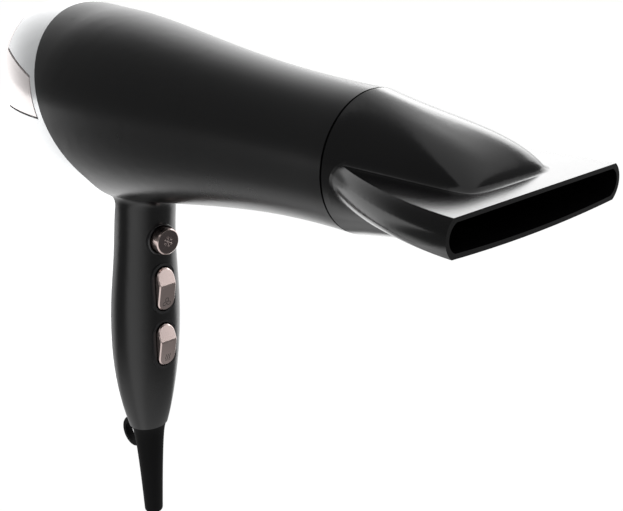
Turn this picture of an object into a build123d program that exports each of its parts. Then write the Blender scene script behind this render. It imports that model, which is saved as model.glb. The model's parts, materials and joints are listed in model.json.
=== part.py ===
from build123d import *
import os
from math import copysign, cos, pi, radians, sin, tan

# A hand-held hair dryer with a wide concentrator nozzle. Millimetres throughout.
# While it is built, +X runs along the barrel to the nozzle, +Z is up and Z is zero on the
# barrel's axis. save() then moves every piece up, so that Z is zero at the middle of the grip.

# ---- driving dimensions ------------------------------------------------------------------

GRIP_DROP = 105.0  # from the barrel's axis down to the middle of the grip

# barrel, a body of round sections that swells towards the back
OUTLET_RADIUS = 26.6
REAR_RADIUS = 42.7
BARREL_FRONT = 148.8
SHOULDER = -10.0  # where the body is widest
TAIL = -59.0  # rearmost point of the whole body
TAIL_SHRINK = 10.0
TAIL_RISE = 10.0
AXIS_DROP = 2.9
BODY_SWELL = 0.78
SHELL_WALL = 2.2
RIM_X = -7.0
RIM_LEAN = 30.0
BODY_STEP = 9.0
NECK_FILLET = 7.0
WEB_THICKNESS = 2.0
DUCT_WEB = 14.0  # from the back of the duct to the wall that carries it
HEATER_WEB = 8.0  # from the front of the heater sleeve back to its front wall
WIRE_SLOT = 8.0

# grip, a stack of oval sections that leans back a little
GRIP_ROOT = -30.0  # where the outline starts, inside the barrel
GRIP_TOP = -48.0
GRIP_END = -164.5
GRIP_HALF_WIDTH = 17.6
GRIP_DEPTH_SHARE = 0.9
GRIP_WAIST = 0.15
GRIP_TAPER = 0.44
GRIP_LEAD = 5.6
GRIP_SWEEP = 7.2
GRIP_WALL = 2.0
SEAM_KNEE = -27.0  # where the seam between the shells leaves its straight run
SEAM_EASE = (0.6, 7.0)  # forward and down from the knee to the seam's next point
SEAM_NECK = 6.0  # from the grip's top up to the seam's last point on the barrel
SEAM_BACK = 3.0  # from the middle of the grip back to the seam
SEAM_GAP = 0.2

# rear: pull-off filter cover with side ears, mesh
COVER_X = -43.0
COVER_LEAN = 15.0
EAR_SETBACK = 5.0
EAR_BOTTOM = -3.0
EAR_TOP = 12.5  # at the ear's front corner
EAR_LEAN = 15.0  # rise of the ear's upper edge towards the tail
EAR_GAP = 0.9
TAIL_DOME = 85.0
SKIRT_RADIUS = 34.8
SKIRT_WALL = 1.6
SKIRT_LENGTH = 12.0
SKIRT_HEIGHT = 0.5
GRILLE_SLOT = 2.2
GRILLE_PITCH = 4.2
GRILLE_HUB = 6.0
GRILLE_RINGS = 6
GRILLE_SPOKES = 6
GRILLE_SPOKE = 2.6
GRILLE_CUT = 11.0  # depth of the slots from the rearmost point
MESH_RIM = 2.4
MESH_FRAME = 2.0
MESH_LEDGE = 1.5
MESH_THICKNESS = 0.8
MESH_HOLE = 1.7
MESH_RINGS = 5

# fan and motor, on the barrel's axis
FAN_RADIUS = 30.8
FAN_TIP_GAP = 0.8
FAN_BACK = 0.0
FAN_LENGTH = 13.0
FAN_HUB = 11.0
FAN_BLADES = 7
BLADE_THICKNESS = 1.4
BLADE_TWIST = 38.0
BLADE_ROOT = 3.0  # depth of the blades inside the hub
NOSE_SHARE = 0.8  # length of the nose against the hub's radius
DUCT_WALL = 1.6
DUCT_BACK = -8.0
DUCT_TURN = 20.0
DUCT_END = 54.0
DUCT_END_RADIUS = 27.5
VANES = 6
VANE_THICKNESS = 1.2
MOTOR_RADIUS = 13.5
MOTOR_LENGTH = 32.0
MOTOR_WALL = 1.2
MOTOR_GAP = 3.0
MOTOR_CAP = 2.0
SHAFT_RADIUS = 1.5
BEARING_RADIUS = 4.0
BEARING_LENGTH = 4.0
BEARING_WALL = 1.5
MAGNET_THICKNESS = 3.0
ARMATURE_LENGTH = 15.0
ARMATURE_RADIUS = 8.6
ARMATURE_SLOT = 2.2
ARMATURE_SLOT_FLOOR = 4.0
WINDING_DROP = 1.4  # from the core's outside down to the copper
WINDING_BACK = 0.8
WINDING_FRONT = 2.0
COMMUTATOR_RADIUS = 3.2
COMMUTATOR_LENGTH = 5.0
COMMUTATOR_GROOVE = 0.3
COMMUTATOR_GROOVE_DEPTH = 0.6
BRUSH_SIZE = 2.4
BRUSH_WALL = 1.0
BRUSH_GUIDE_LIFT = 1.6  # from the commutator up to the brush guides

# heater
HEATER_RADIUS = 22.4
HEATER_WALL = 0.8
HEATER_BACK = 62.0
HEATER_LENGTH = 58.0
BOARD_THICKNESS = 1.0
BOARD_HALF = 16.5
BOARD_EAR = 3.0
COIL_WIRE = 0.6
COIL_TURNS = 7
COIL_PITCH = 3.4
COIL_START = (5.5, 30.5)  # from the sleeve's back to the first turn of each coil
THERMOSTAT_RADIUS = 6.0
THERMOSTAT_HEIGHT = 4.0
THERMOSTAT_STEM = 3.0
THERMOSTAT_TABS = (18.0, 3.0)
FUSE_RADIUS = 1.6
FUSE_LENGTH = 9.0
FUSE_LEAD = 0.4
FUSE_LEAD_LENGTH = 20.0
FUSE_HEIGHT = 8.0
OUTLET_BORE_DEPTH = 25.0
OUTLET_GRILLE_DEPTH = 4.0
OUTLET_GRILLE_BAR = 1.2
OUTLET_GRILLE_RINGS = 3
OUTLET_GRILLE_RIM = 1.6
OUTLET_GRILLE_BAR_DEPTH = 2.0

# concentrator nozzle
NOZZLE_GAP = 0.9
NOZZLE_LENGTH = 70.6
NOZZLE_WALL = 1.6
MOUTH_TOP = 5.4
MOUTH_BOTTOM = -7.4
MOUTH_BOW = 1.4
MOUTH_HALF = 43.0
MOUTH_BULGE = 3.2
BILL_HALF_START = 21.0
BILL_FLARE = 1.8
BILL_FILLET = 3.0
DOME_STOP = 9.1  # from the mouth back to the dome's tip
DOME_SLOPE = 0.45
DOME_BLUNT = 6.0
DOME_NARROWING = 5.2
DOME_SQUARING = 2.3
SPIGOT_LENGTH = 13.0
SPIGOT_WALL = 2.0
RING_DEPTH = 1.0
RING_LENGTH = 3.0
RING_BACK = 4.0
RING_SPLIT = 4.0

# switches, all on the front of the grip
BUTTON_Z = -62.4
BUTTON_RADIUS = 6.2
BUTTON_PROUD = 5.0
BUTTON_TRAVEL = 2.5
BUTTON_FLANGE = (1.2, 1.1)  # length and reach of the flange that holds the button
BUTTON_WALL = 1.4
BUTTON_HOLLOW = 3.0
BUTTON_BEVEL = 0.5
COLLAR_WALL = 1.1
COLLAR_PROUD = 0.4
COLLAR_DEPTH = 6.0
COLLAR_BEVEL = 0.4
COOL_SWITCH = (10.0, 9.0)  # across and along the grip
COOL_PLUNGER = 1.5
SPRING_WIRE = 0.4
SPRING_TURNS = 4
SPRING_INSET = 2.6  # from the button's outside in to the spring
ROCKER_Z = (-87.0, -116.0)
ROCKER_LENGTH = 21.0
ROCKER_WIDTH = 9.4
ROCKER_RIDGE = 4.2
ROCKER_EDGE = 1.4
ROCKER_RIDGE_SHIFT = 2.6
ROCKER_SIDE_DEPTH = 2.0  # below the grip's surface, where the rocker's ends start
ROCKER_UNDERCUT = 2.4
ROCKER_KEEL = 0.6  # below the pin
ROCKER_BEVEL = 0.5
ROCKER_PIN_DEPTH = 3.4
ROCKER_PIN = 0.9
ROCKER_HUB = 2.1
BEZEL_WALL = 1.3
BEZEL_PROUD = 0.5
BEZEL_DEPTH = 5.6
ROCKER_SWING = 0.5
SWITCH_WIDTH = 10.6
SWITCH_RIM = 1.0
SWITCH_RECESS = 1.2
BOARD_X = 0.6
SWITCH_BOARD_THICKNESS = 1.6
SWITCH_BOARD_WIDTH = 20.0
SWITCH_BOARD_TOP = -55.0
SWITCH_BOARD_END = -130.0
SCREW_Z = (-101.0, -139.0)
SCREW_RADIUS = 1.3
SCREW_HEAD = 2.5
SCREW_HEAD_HEIGHT = 1.4
SCREW_CROSS = (3.2, 0.6, 0.7)  # length, width and depth of the driver's cross
SCREW_SPARE = 3.0  # from the screw's tip to the front wall
BOSS_WALL = 1.6
OPENING_REACH = 9.0  # cutters run this far each way through the front wall

# cord entry: strain relief with hanging loop, cord clamp
RELIEF_LENGTH = 52.0
RELIEF_TIP_RADIUS = 4.6
RELIEF_SWELL = 0.5
RELIEF_BORE = 3.6
RELIEF_PLUG = 12.0
RELIEF_PLUG_RADIUS = 5.4
RELIEF_COLLAR = (1.5, 3.0)  # reach and length of the collar inside the grip
RELIEF_TIP_FILLET = 1.8
LOOP_RADIUS = 8.0
LOOP_HOLE = 5.0
LOOP_WIDTH = 4.0
LOOP_FILLET = 1.2
LOOP_X = -15.2
LOOP_Z = -175.5
CLAMP_HEIGHT = 5.0
CLAMP_THICKNESS = 1.6
CLAMP_SCREW = 1.0
CLAMP_SCREW_HEAD = 1.8
CLAMP_SCREW_HEAD_HEIGHT = 1.2
CLAMP_BITE = 8.0
CLAMP_CORNER = 1.5
CLAMP_POST = 2.1
CLAMP_REST = 1.0  # gap between the relief's plug and the clamp

# fits
SNUG = 0.05  # pieces that seat on each other
RUNNING = 0.05  # shafts and pins in their bores
SLIDING = 0.3  # pieces that move past each other
BIG = 400.0


# ---- shape of the body and the grip ------------------------------------------------------


def ease(share):
    """Fall smoothly from 1 at share 0 to 0 at share 1."""
    return 0.5 * (1 + cos(pi * min(max(share, 0.0), 1.0)))


def tail_share(x):
    return max(SHOULDER - x, 0.0) / (SHOULDER - TAIL)


def front_share(x):
    return max(x - SHOULDER, 0.0) / (BARREL_FRONT - SHOULDER)


def body_radius(x):
    taper = ease(front_share(x) ** BODY_SWELL)
    front = OUTLET_RADIUS + (REAR_RADIUS - OUTLET_RADIUS) * taper
    return front - TAIL_SHRINK * tail_share(x) ** 2


def body_height(x):
    return TAIL_RISE * tail_share(x) ** 1.5 - AXIS_DROP * ease(front_share(x))


def body(inset, start, end):
    """The body's round outline between two stations, drawn in by inset."""
    count = max(2, round((end - start) / BODY_STEP))
    stations = [start + (end - start) * i / count for i in range(count + 1)]
    rings = [
        Plane(origin=(x, 0, body_height(x)), x_dir=(0, 0, -1), z_dir=(1, 0, 0))
        * Circle(body_radius(x) - inset)
        for x in stations
    ]
    return loft(rings)


def grip_share(z):
    return (GRIP_TOP - z) / (GRIP_TOP - GRIP_END)


def grip_half_width(z):
    share = grip_share(z)
    if share < 0.5:
        return GRIP_HALF_WIDTH * (1 - GRIP_WAIST * ease((share - 0.06) / 0.44))
    return GRIP_HALF_WIDTH * (1 - GRIP_TAPER * (2 * share - 1) ** 2.2)


def grip_depth(z):
    return GRIP_DEPTH_SHARE * grip_half_width(z)


def grip_centre(z):
    share = min(max(grip_share(z), 0.0) / 0.85, 1.0)
    return GRIP_LEAD - GRIP_SWEEP * (1 - (1 - share) ** 1.5)


def grip_front(z):
    return grip_centre(z) + grip_depth(z)


def grip_back(z):
    return grip_centre(z) - grip_depth(z)


def grip(inset, top, end):
    """The grip's oval outline between two heights, drawn in by inset."""
    count = max(2, round((top - end) / BODY_STEP))
    heights = [top + (end - top) * i / count for i in range(count + 1)]
    ovals = [
        Plane(origin=(grip_centre(z), 0, z), x_dir=(0, 1, 0), z_dir=(0, 0, -1))
        * Ellipse(grip_half_width(z) - inset, grip_depth(z) - inset)
        for z in heights
    ]
    return loft(ovals)


# ---- helpers -----------------------------------------------------------------------------


def along_x(start, length, radius, height=0.0, y=0.0):
    """A round bar along X."""
    bar = Cylinder(radius, length, align=(Align.CENTER, Align.CENTER, Align.MIN))
    return Pos(start, y, height) * Rot(0, 90, 0) * bar


def tube_x(start, length, outer, inner, height=0.0):
    return along_x(start, length, outer, height) - along_x(start - 1, length + 2, inner, height)


def block(x, y, z):
    """A box between two limits on each axis."""
    size = [high - low for low, high in (x, y, z)]
    middle = [(low + high) / 2 for low, high in (x, y, z)]
    return Pos(*middle) * Box(*size)


def side_prism(points, half_width=BIG / 2):
    """An outline in X and Z, drawn out to both sides."""
    outline = Plane.XZ * make_face(Polyline(*points, close=True))
    return extrude(outline, half_width, both=True)


def behind_cover(shift):
    """The space behind the plane where the filter cover meets the rear shell."""
    lean = radians(COVER_LEAN)
    plane = Plane(origin=(COVER_X + shift, 0, 0), x_dir=(0, 1, 0), z_dir=(-cos(lean), 0, -sin(lean)))
    return extrude(plane * Rectangle(3 * REAR_RADIUS, 2.6 * REAR_RADIUS), 2 * REAR_RADIUS)


def leaning_slab(low, high):
    return behind_cover(high) - behind_cover(low)


def rim_at(z):
    return RIM_X - tan(radians(RIM_LEAN)) * z


def around_x(piece, count, start=0.0):
    return [Rot(start + 360.0 * i / count, 0, 0) * piece for i in range(count)]


def joined(pieces):
    whole, *rest = pieces
    for piece in rest:
        whole = whole + piece
    return whole


def save(name, shape):
    """Write one node, from one shape or a list of separate ones."""
    shapes = shape if isinstance(shape, list) else [shape]
    solids = [solid for piece in shapes for solid in piece.solids()]
    whole = solids[0] if len(solids) == 1 else Compound(solids)
    export_step(Pos(0, 0, GRIP_DROP) * whole, f"parts/{name}.step")


# ---- the two shells ----------------------------------------------------------------------

OUTLET_BORE = OUTLET_RADIUS - SHELL_WALL
DUCT_INNER = FAN_RADIUS + FAN_TIP_GAP
DUCT_OUTER = DUCT_INNER + DUCT_WALL
HEATER_END = HEATER_BACK + HEATER_LENGTH
BOARD_FACE = BOARD_X + SWITCH_BOARD_THICKNESS


def neck_edge(edge):
    box = edge.bounding_box()
    small = max(box.size.X, box.size.Y) < 2.6 * GRIP_HALF_WIDTH
    return small and box.min.Z > GRIP_TOP - 5 and box.max.Z < GRIP_ROOT


def housing():
    """Barrel, tail and grip as one hollow body, before the seam splits it."""
    outer = body(0, TAIL, BARREL_FRONT) + grip(0, GRIP_ROOT, GRIP_END)
    outer = fillet([edge for edge in outer.edges() if neck_edge(edge)], NECK_FILLET)
    bore_start = BARREL_FRONT - OUTLET_BORE_DEPTH
    cavity = body(SHELL_WALL, TAIL - 1, bore_start)
    cavity = cavity + grip(GRIP_WALL, GRIP_ROOT, GRIP_END + GRIP_WALL)
    outlet = along_x(bore_start - 1, OUTLET_BORE_DEPTH + 2, OUTLET_BORE)
    return outer - cavity - outlet


def shell_region(shift, far):
    """Everything on one side of the seam, which runs down the barrel and then the grip."""
    lean = radians(RIM_LEAN)
    high = 1.5 * REAR_RADIUS
    low = GRIP_END - 3 * GRIP_WALL
    top = (rim_at(high) + shift, high)
    knee = (rim_at(SEAM_KNEE) + shift, SEAM_KNEE)
    forward, down = SEAM_EASE
    neck = [(knee[0] + forward, SEAM_KNEE - down), (GRIP_LEAD + shift, GRIP_TOP + SEAM_NECK)]
    count = 6
    start = GRIP_TOP - 2 * GRIP_WALL
    heights = [start + (low - start) * i / count for i in range(count + 1)]
    back = [(grip_centre(z) - SEAM_BACK + shift, z) for z in heights]
    curve = Spline(knee, *neck, *back, tangents=[(sin(lean), -cos(lean)), (0, -1)])
    frame = Polyline(back[-1], (far, low), (far, high), top, knee)
    return extrude(Plane.XZ * make_face([curve, frame]), BIG / 2, both=True)


def web(start, bore):
    """An inner wall of the barrel that carries a round piece."""
    wall = body(SHELL_WALL / 2, start, start + WEB_THICKNESS)
    return wall - along_x(start - 1, WEB_THICKNESS + 2, bore + SNUG)


def webs():
    """All the inner walls, with a slot under the duct for the wires."""
    stations = [(DUCT_BACK + DUCT_WEB, DUCT_OUTER), (DUCT_TURN - WEB_THICKNESS, DUCT_OUTER),
                (HEATER_BACK + WEB_THICKNESS, HEATER_RADIUS), (HEATER_END - HEATER_WEB, HEATER_RADIUS)]
    walls = joined([web(start, bore) for start, bore in stations])
    slot = block((DUCT_BACK, DUCT_END), (-WIRE_SLOT / 2, WIRE_SLOT / 2), (-REAR_RADIUS, 1 - DUCT_OUTER))
    return walls - slot


def relief_socket():
    """The round hole at the foot of the grip, shared by both shells."""
    hole = Cylinder(RELIEF_PLUG_RADIUS + SNUG, 3 * GRIP_WALL)
    return Pos(grip_centre(GRIP_END), 0, GRIP_END) * hole


def front_boss(z):
    """A post from the front shell that carries the switch board and takes a screw."""
    reach = grip_front(z) - GRIP_WALL / 2
    post = along_x(BOARD_FACE, reach - BOARD_FACE, SCREW_RADIUS + BOSS_WALL, z)
    return post + along_x(BOARD_X, reach - BOARD_X, SCREW_RADIUS + BOSS_WALL / 2, z)


def rear_boss(z):
    start = grip_back(z) + GRIP_WALL / 2
    return along_x(start, BOARD_X - start, SCREW_RADIUS + BOSS_WALL, z)


def front_shell(whole):
    """The dark shell: the barrel, and the front of the grip with its switch openings."""
    side = shell_region(0, BIG / 2)
    shell = (whole & side) + (webs() & side)
    for z in SCREW_Z:
        shell = shell + front_boss(z)
        shell = shell - along_x(BOARD_X - 1, grip_front(z) - GRIP_WALL - BOARD_X, SCREW_RADIUS, z)
    shell = shell + clamp_bosses()
    shell = shell - clamp_posts(CLAMP_SCREW, CLAMP_FACE - 1, grip_front(CLAMP_MIDDLE) - GRIP_WALL - 1)
    reach = grip_front(BUTTON_Z) - OPENING_REACH
    shell = shell - along_x(reach, 2 * OPENING_REACH, COLLAR_RADIUS + SNUG, BUTTON_Z)
    for z in ROCKER_Z:
        shell = shell - bezel_prism(z, SNUG, grip_front(z) - OPENING_REACH, grip_front(z) + OPENING_REACH)
    return shell - relief_socket()


def rear_shell(whole):
    """The light shell: the tail of the barrel and the back of the grip."""
    shell = whole & shell_region(-SEAM_GAP, -BIG / 2)
    shell = shell - behind_cover(0) - ear_prism(EAR_GAP)
    for z in SCREW_Z:
        start = grip_back(z) - OPENING_REACH
        shell = shell + rear_boss(z)
        shell = shell - along_x(start, BOARD_X + 1 - start, SCREW_RADIUS + SNUG, z)
        shell = shell - along_x(start, OPENING_REACH + GRIP_WALL, SCREW_HEAD + SNUG, z)
    return shell - relief_socket()


def handle_screws():
    return [handle_screw(z) for z in SCREW_Z]


def handle_screw(z):
    seat = grip_back(z) + GRIP_WALL
    top = seat - SCREW_HEAD_HEIGHT
    head = along_x(top, SCREW_HEAD_HEIGHT, SCREW_HEAD, z)
    length, width, depth = SCREW_CROSS
    slot = Pos(top, 0, z) * Box(2 * depth, width, length)
    cross = Pos(top, 0, z) * Box(2 * depth, length, width)
    tip = grip_front(z) - GRIP_WALL - SCREW_SPARE
    return head - slot - cross + along_x(seat, tip - seat, SCREW_RADIUS - SNUG / 2, z)


# ---- openings shared with the switches ---------------------------------------------------

COLLAR_RADIUS = BUTTON_RADIUS + SLIDING + COLLAR_WALL


def stadium_prism(z, length, width, start, end):
    """A round-ended outline in Y and Z, drawn out along X."""
    plane = Plane(origin=(start, 0, z), x_dir=(0, 0, 1), z_dir=(1, 0, 0))
    return extrude(plane * SlotOverall(length, width), end - start)


def bezel_prism(z, grow, start, end):
    length = ROCKER_LENGTH + 2 * (ROCKER_SWING + SLIDING + BEZEL_WALL + grow)
    width = ROCKER_WIDTH + 2 * (SLIDING + BEZEL_WALL + grow)
    return stadium_prism(z, length, width, start, end)


# ---- rear: filter cover and mesh ---------------------------------------------------------


def ear_prism(gap):
    """Side view of the two grip ears, drawn out by gap."""
    run = RIM_X - TAIL
    rise = tan(radians(EAR_LEAN)) * run
    low, high = EAR_BOTTOM - gap, EAR_TOP + gap
    front_low = rim_at(low) - EAR_SETBACK + gap
    front_high = rim_at(high) - EAR_SETBACK + gap
    return side_prism([(front_low, low), (front_high, high), (front_high - run, high + rise),
                       (front_low - run, low)])


def tail_dome(inset):
    """A large ball that rounds off the tail."""
    return Pos(TAIL + TAIL_DOME, 0, body_height(TAIL)) * Sphere(TAIL_DOME - inset)


def grille_slots():
    slots = []
    for i in range(GRILLE_RINGS):
        inner = GRILLE_HUB + i * GRILLE_PITCH
        slots.append(tube_x(TAIL - 1, GRILLE_CUT + 1, inner + GRILLE_SLOT, inner))
    half = GRILLE_SPOKE / 2
    spoke = block((TAIL - 3, TAIL + GRILLE_CUT + 2), (-half, half), (0, REAR_RADIUS))
    cut = joined(slots) - joined(around_x(spoke, GRILLE_SPOKES))
    return Pos(0, 0, SKIRT_HEIGHT) * cut


SKIRT_REACH = COVER_X + 2 * SKIRT_LENGTH - TAIL


def filter_cover():
    """The pull-off tail cap: a domed grille, a skirt that plugs in, and an ear on each side."""
    outer = body(0, TAIL, BARREL_FRONT) & tail_dome(0)
    inner = body(SHELL_WALL, TAIL - 1, BARREL_FRONT) & tail_dome(SHELL_WALL)
    shell = (outer - inner) & (behind_cover(-SEAM_GAP) + ear_prism(0))
    skirt = tube_x(TAIL, SKIRT_REACH, SKIRT_RADIUS, SKIRT_RADIUS - SKIRT_WALL, SKIRT_HEIGHT)
    skirt = skirt & behind_cover(SKIRT_LENGTH / 2) & tail_dome(SHELL_WALL / 2)
    seat = SKIRT_RADIUS - SKIRT_WALL
    ledge = tube_x(TAIL, SKIRT_REACH, seat + SKIRT_WALL / 2, seat - MESH_LEDGE, SKIRT_HEIGHT)
    ledge = ledge & leaning_slab(-SNUG - MESH_LEDGE, -SNUG) & tail_dome(SHELL_WALL / 2)
    return shell + skirt + ledge - grille_slots()


def filter_mesh():
    """A fine disc sieve in a rim that seats inside the cover's skirt."""
    radius = SKIRT_RADIUS - SKIRT_WALL - SNUG
    frame = tube_x(TAIL, SKIRT_REACH, radius, radius - MESH_RIM, SKIRT_HEIGHT)
    sheet = along_x(TAIL, SKIRT_REACH, radius - MESH_RIM / 2, SKIRT_HEIGHT)
    pitch = (radius - MESH_RIM) / (MESH_RINGS + 0.6)
    holes = []
    for ring in range(1, MESH_RINGS + 1):
        hole = along_x(TAIL - 1, SKIRT_REACH + 2, MESH_HOLE, ring * pitch)
        holes.extend(around_x(hole, 6 * ring))
    holes = [Pos(0, 0, SKIRT_HEIGHT) * hole for hole in holes]
    sheet = (sheet & leaning_slab(0, MESH_THICKNESS)) - holes
    return (frame & leaning_slab(0, MESH_FRAME)) + sheet


# ---- fan, duct and motor -----------------------------------------------------------------

MOTOR_BACK = FAN_BACK + FAN_LENGTH + MOTOR_GAP
MOTOR_FRONT = MOTOR_BACK + MOTOR_LENGTH
POD_INNER = MOTOR_RADIUS + SNUG
POD_OUTER = POD_INNER + DUCT_WALL


def duct_skin(start, end, grow):
    """The duct's air passage: straight past the fan, then tapering past the motor."""
    outline = Polyline((start, 0), (start, DUCT_INNER + grow), (DUCT_TURN, DUCT_INNER + grow),
                       (end, DUCT_END_RADIUS + grow), (end, 0), close=True)
    return revolve(Plane.XZ * make_face(outline), Axis.X)


def fan_duct():
    """The round duct that carries the motor pod on radial vanes."""
    passage = duct_skin(DUCT_BACK - 1, DUCT_END + 1, 0)
    duct = duct_skin(DUCT_BACK, DUCT_END, DUCT_WALL) - passage
    pod_length = MOTOR_FRONT - MOTOR_BACK + DUCT_WALL
    pod = tube_x(MOTOR_BACK, pod_length, POD_OUTER, POD_INNER)
    floor = tube_x(MOTOR_FRONT, DUCT_WALL, POD_INNER + DUCT_WALL / 2, BEARING_RADIUS + SNUG)
    reach = (POD_INNER + POD_OUTER) / 2
    half = VANE_THICKNESS / 2
    vane = block((DUCT_TURN + WEB_THICKNESS, MOTOR_FRONT), (-half, half), (reach, DUCT_OUTER))
    vanes = joined(around_x(vane, VANES)) & duct_skin(DUCT_BACK, DUCT_END, DUCT_WALL / 2)
    return duct + pod + floor + vanes


def motor_can():
    """A deep-drawn can whose front carries a bearing."""
    can = tube_x(MOTOR_BACK, MOTOR_LENGTH, MOTOR_RADIUS, MOTOR_RADIUS - MOTOR_WALL)
    end = along_x(MOTOR_FRONT - MOTOR_WALL, MOTOR_WALL, MOTOR_RADIUS - MOTOR_WALL / 2)
    collar = along_x(MOTOR_FRONT - BEARING_LENGTH, BEARING_LENGTH, BEARING_RADIUS + BEARING_WALL)
    return can + end + collar - bearing_seat(MOTOR_FRONT - BEARING_LENGTH)


def bearing_seat(start):
    return along_x(start - 1, BEARING_LENGTH + 2, BEARING_RADIUS + SNUG)


def motor_end_cap():
    """The moulded rear cap with the other bearing and two brush guides."""
    radius = MOTOR_RADIUS - MOTOR_WALL - SNUG
    cap = along_x(MOTOR_BACK, MOTOR_CAP, radius)
    collar = along_x(MOTOR_BACK, BEARING_LENGTH, BEARING_RADIUS + BEARING_WALL)
    half = BRUSH_SIZE / 2 + BRUSH_WALL
    guide = block((MOTOR_BACK + MOTOR_CAP / 2, BRUSH_MIDDLE + half), (-half, half),
                  (COMMUTATOR_RADIUS + BRUSH_GUIDE_LIFT, radius - SLIDING))
    channel = brush_block(BRUSH_SIZE / 2 + SNUG, 0, radius + 1)
    guides = joined(around_x(guide, 2)) - joined(around_x(channel, 2))
    return cap + collar + guides - bearing_seat(MOTOR_BACK)


COMMUTATOR_BACK = MOTOR_BACK + BEARING_LENGTH + 1.0
BRUSH_MIDDLE = COMMUTATOR_BACK + COMMUTATOR_LENGTH / 2


def brush_block(half, low, high):
    """A square bar that stands on the commutator."""
    return block((BRUSH_MIDDLE - half, BRUSH_MIDDLE + half), (-half, half), (low, high))


def carbon_brushes():
    end = MOTOR_RADIUS - MOTOR_WALL - BRUSH_WALL
    return around_x(brush_block(BRUSH_SIZE / 2, COMMUTATOR_RADIUS + RUNNING, end), 2)


def bearing(start):
    return tube_x(start, BEARING_LENGTH, BEARING_RADIUS, SHAFT_RADIUS + RUNNING)


ARMATURE_BACK = COMMUTATOR_BACK + COMMUTATOR_LENGTH + 1.0


def motor_magnets():
    """Two curved magnets stuck inside the can."""
    outer = MOTOR_RADIUS - MOTOR_WALL - SNUG
    ring = tube_x(ARMATURE_BACK, ARMATURE_LENGTH, outer, outer - MAGNET_THICKNESS)
    gap = block((ARMATURE_BACK - 1, ARMATURE_BACK + ARMATURE_LENGTH + 1),
                (-MOTOR_RADIUS / 2, MOTOR_RADIUS / 2), (-MOTOR_RADIUS, MOTOR_RADIUS))
    return ring - gap


SHAFT_BACK = FAN_BACK - 1.0


def motor_shaft():
    return along_x(SHAFT_BACK, MOTOR_FRONT + 1.0 - SHAFT_BACK, SHAFT_RADIUS)


def armature():
    """The slotted core that turns inside the magnets."""
    core = tube_x(ARMATURE_BACK, ARMATURE_LENGTH, ARMATURE_RADIUS, SHAFT_RADIUS)
    half = ARMATURE_SLOT / 2
    slot = block((ARMATURE_BACK - 1, ARMATURE_BACK + ARMATURE_LENGTH + 1), (-half, half),
                 (ARMATURE_SLOT_FLOOR, ARMATURE_RADIUS + 1))
    return core - joined(around_x(slot, 3))


def armature_windings():
    """Copper lying in the slots and round both ends of the core."""
    outer = ARMATURE_RADIUS - WINDING_DROP
    bore = ARMATURE_SLOT_FLOOR / 2
    half = ARMATURE_SLOT / 2
    end = ARMATURE_BACK + ARMATURE_LENGTH
    bar = block((ARMATURE_BACK, end), (-half, half), (ARMATURE_SLOT_FLOOR, outer))
    back = tube_x(ARMATURE_BACK - WINDING_BACK, WINDING_BACK, outer, bore)
    front = tube_x(end, WINDING_FRONT, outer, bore)
    return joined([back, front, *around_x(bar, 3)])


def commutator():
    ring = tube_x(COMMUTATOR_BACK, COMMUTATOR_LENGTH, COMMUTATOR_RADIUS, SHAFT_RADIUS)
    half = COMMUTATOR_GROOVE / 2
    groove = block((COMMUTATOR_BACK - 1, COMMUTATOR_BACK + COMMUTATOR_LENGTH + 1), (-half, half),
                   (COMMUTATOR_RADIUS - COMMUTATOR_GROOVE_DEPTH, COMMUTATOR_RADIUS + 1))
    return ring - joined(around_x(groove, 3, 60))


def fan_blade():
    """One thin blade, pitched round its own radial axis."""
    middle = FAN_BACK + FAN_LENGTH / 2
    root = FAN_HUB - BLADE_ROOT
    span = FAN_RADIUS - root
    chord = FAN_LENGTH / cos(radians(BLADE_TWIST))
    return Pos(middle, 0, root + span / 2) * Rot(0, 0, BLADE_TWIST) * Box(chord, BLADE_THICKNESS, span)


def fan_impeller():
    """A nose cone hub with pitched blades, pressed on the motor shaft."""
    start = FAN_BACK + BLADE_ROOT
    nose = Pos(start, 0, 0) * scale(Sphere(FAN_HUB), by=(NOSE_SHARE, 1, 1))
    hub = along_x(start, FAN_LENGTH - BLADE_ROOT, FAN_HUB)
    hub = hub + (nose & along_x(start - FAN_HUB, FAN_HUB + 1, FAN_HUB + 1))
    sweep = tube_x(FAN_BACK, FAN_LENGTH, FAN_RADIUS, FAN_HUB - BLADE_ROOT / 2)
    blades = joined(around_x(fan_blade(), FAN_BLADES)) & sweep
    return hub + blades - along_x(SHAFT_BACK, FAN_LENGTH + 5, SHAFT_RADIUS)


# ---- heater and outlet grille ------------------------------------------------------------


def heater_sleeve():
    return tube_x(HEATER_BACK, HEATER_LENGTH, HEATER_RADIUS, HEATER_RADIUS - HEATER_WALL)


def heater_boards():
    """Two crossing mica boards whose outer ears seat in the sleeve."""
    inner = HEATER_RADIUS - HEATER_WALL - SNUG
    half = BOARD_THICKNESS / 2
    start, end = HEATER_BACK + 1, HEATER_END - 1
    board = block((start, end), (-half, half), (-BOARD_HALF, BOARD_HALF))
    ears = [block((x, x + BOARD_EAR), (-half, half), (-inner, inner)) for x in (start, end - BOARD_EAR)]
    plate = joined([board, *ears])
    cross = plate + Rot(90, 0, 0) * plate
    return cross & along_x(start - 1, end - start + 2, inner)


def heater_coil(offset):
    """Round turns of resistance wire wound on the boards' edges."""
    turn = Rot(0, 90, 0) * Torus(BOARD_HALF + COIL_WIRE + SNUG, COIL_WIRE)
    return [Pos(HEATER_BACK + offset + COIL_PITCH * i, 0, 0) * turn for i in range(COIL_TURNS)]


def thermostat():
    """A flat disc thermostat standing on the rear end of the boards."""
    start = HEATER_BACK - THERMOSTAT_HEIGHT
    disc = along_x(start, THERMOSTAT_HEIGHT, THERMOSTAT_RADIUS)
    stem = along_x(HEATER_BACK - 1, 2, THERMOSTAT_STEM)
    length, width = THERMOSTAT_TABS
    tabs = Pos(start + THERMOSTAT_HEIGHT / 2, 0, 0) * Box(1, length, width)
    return disc + stem + tabs


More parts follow.
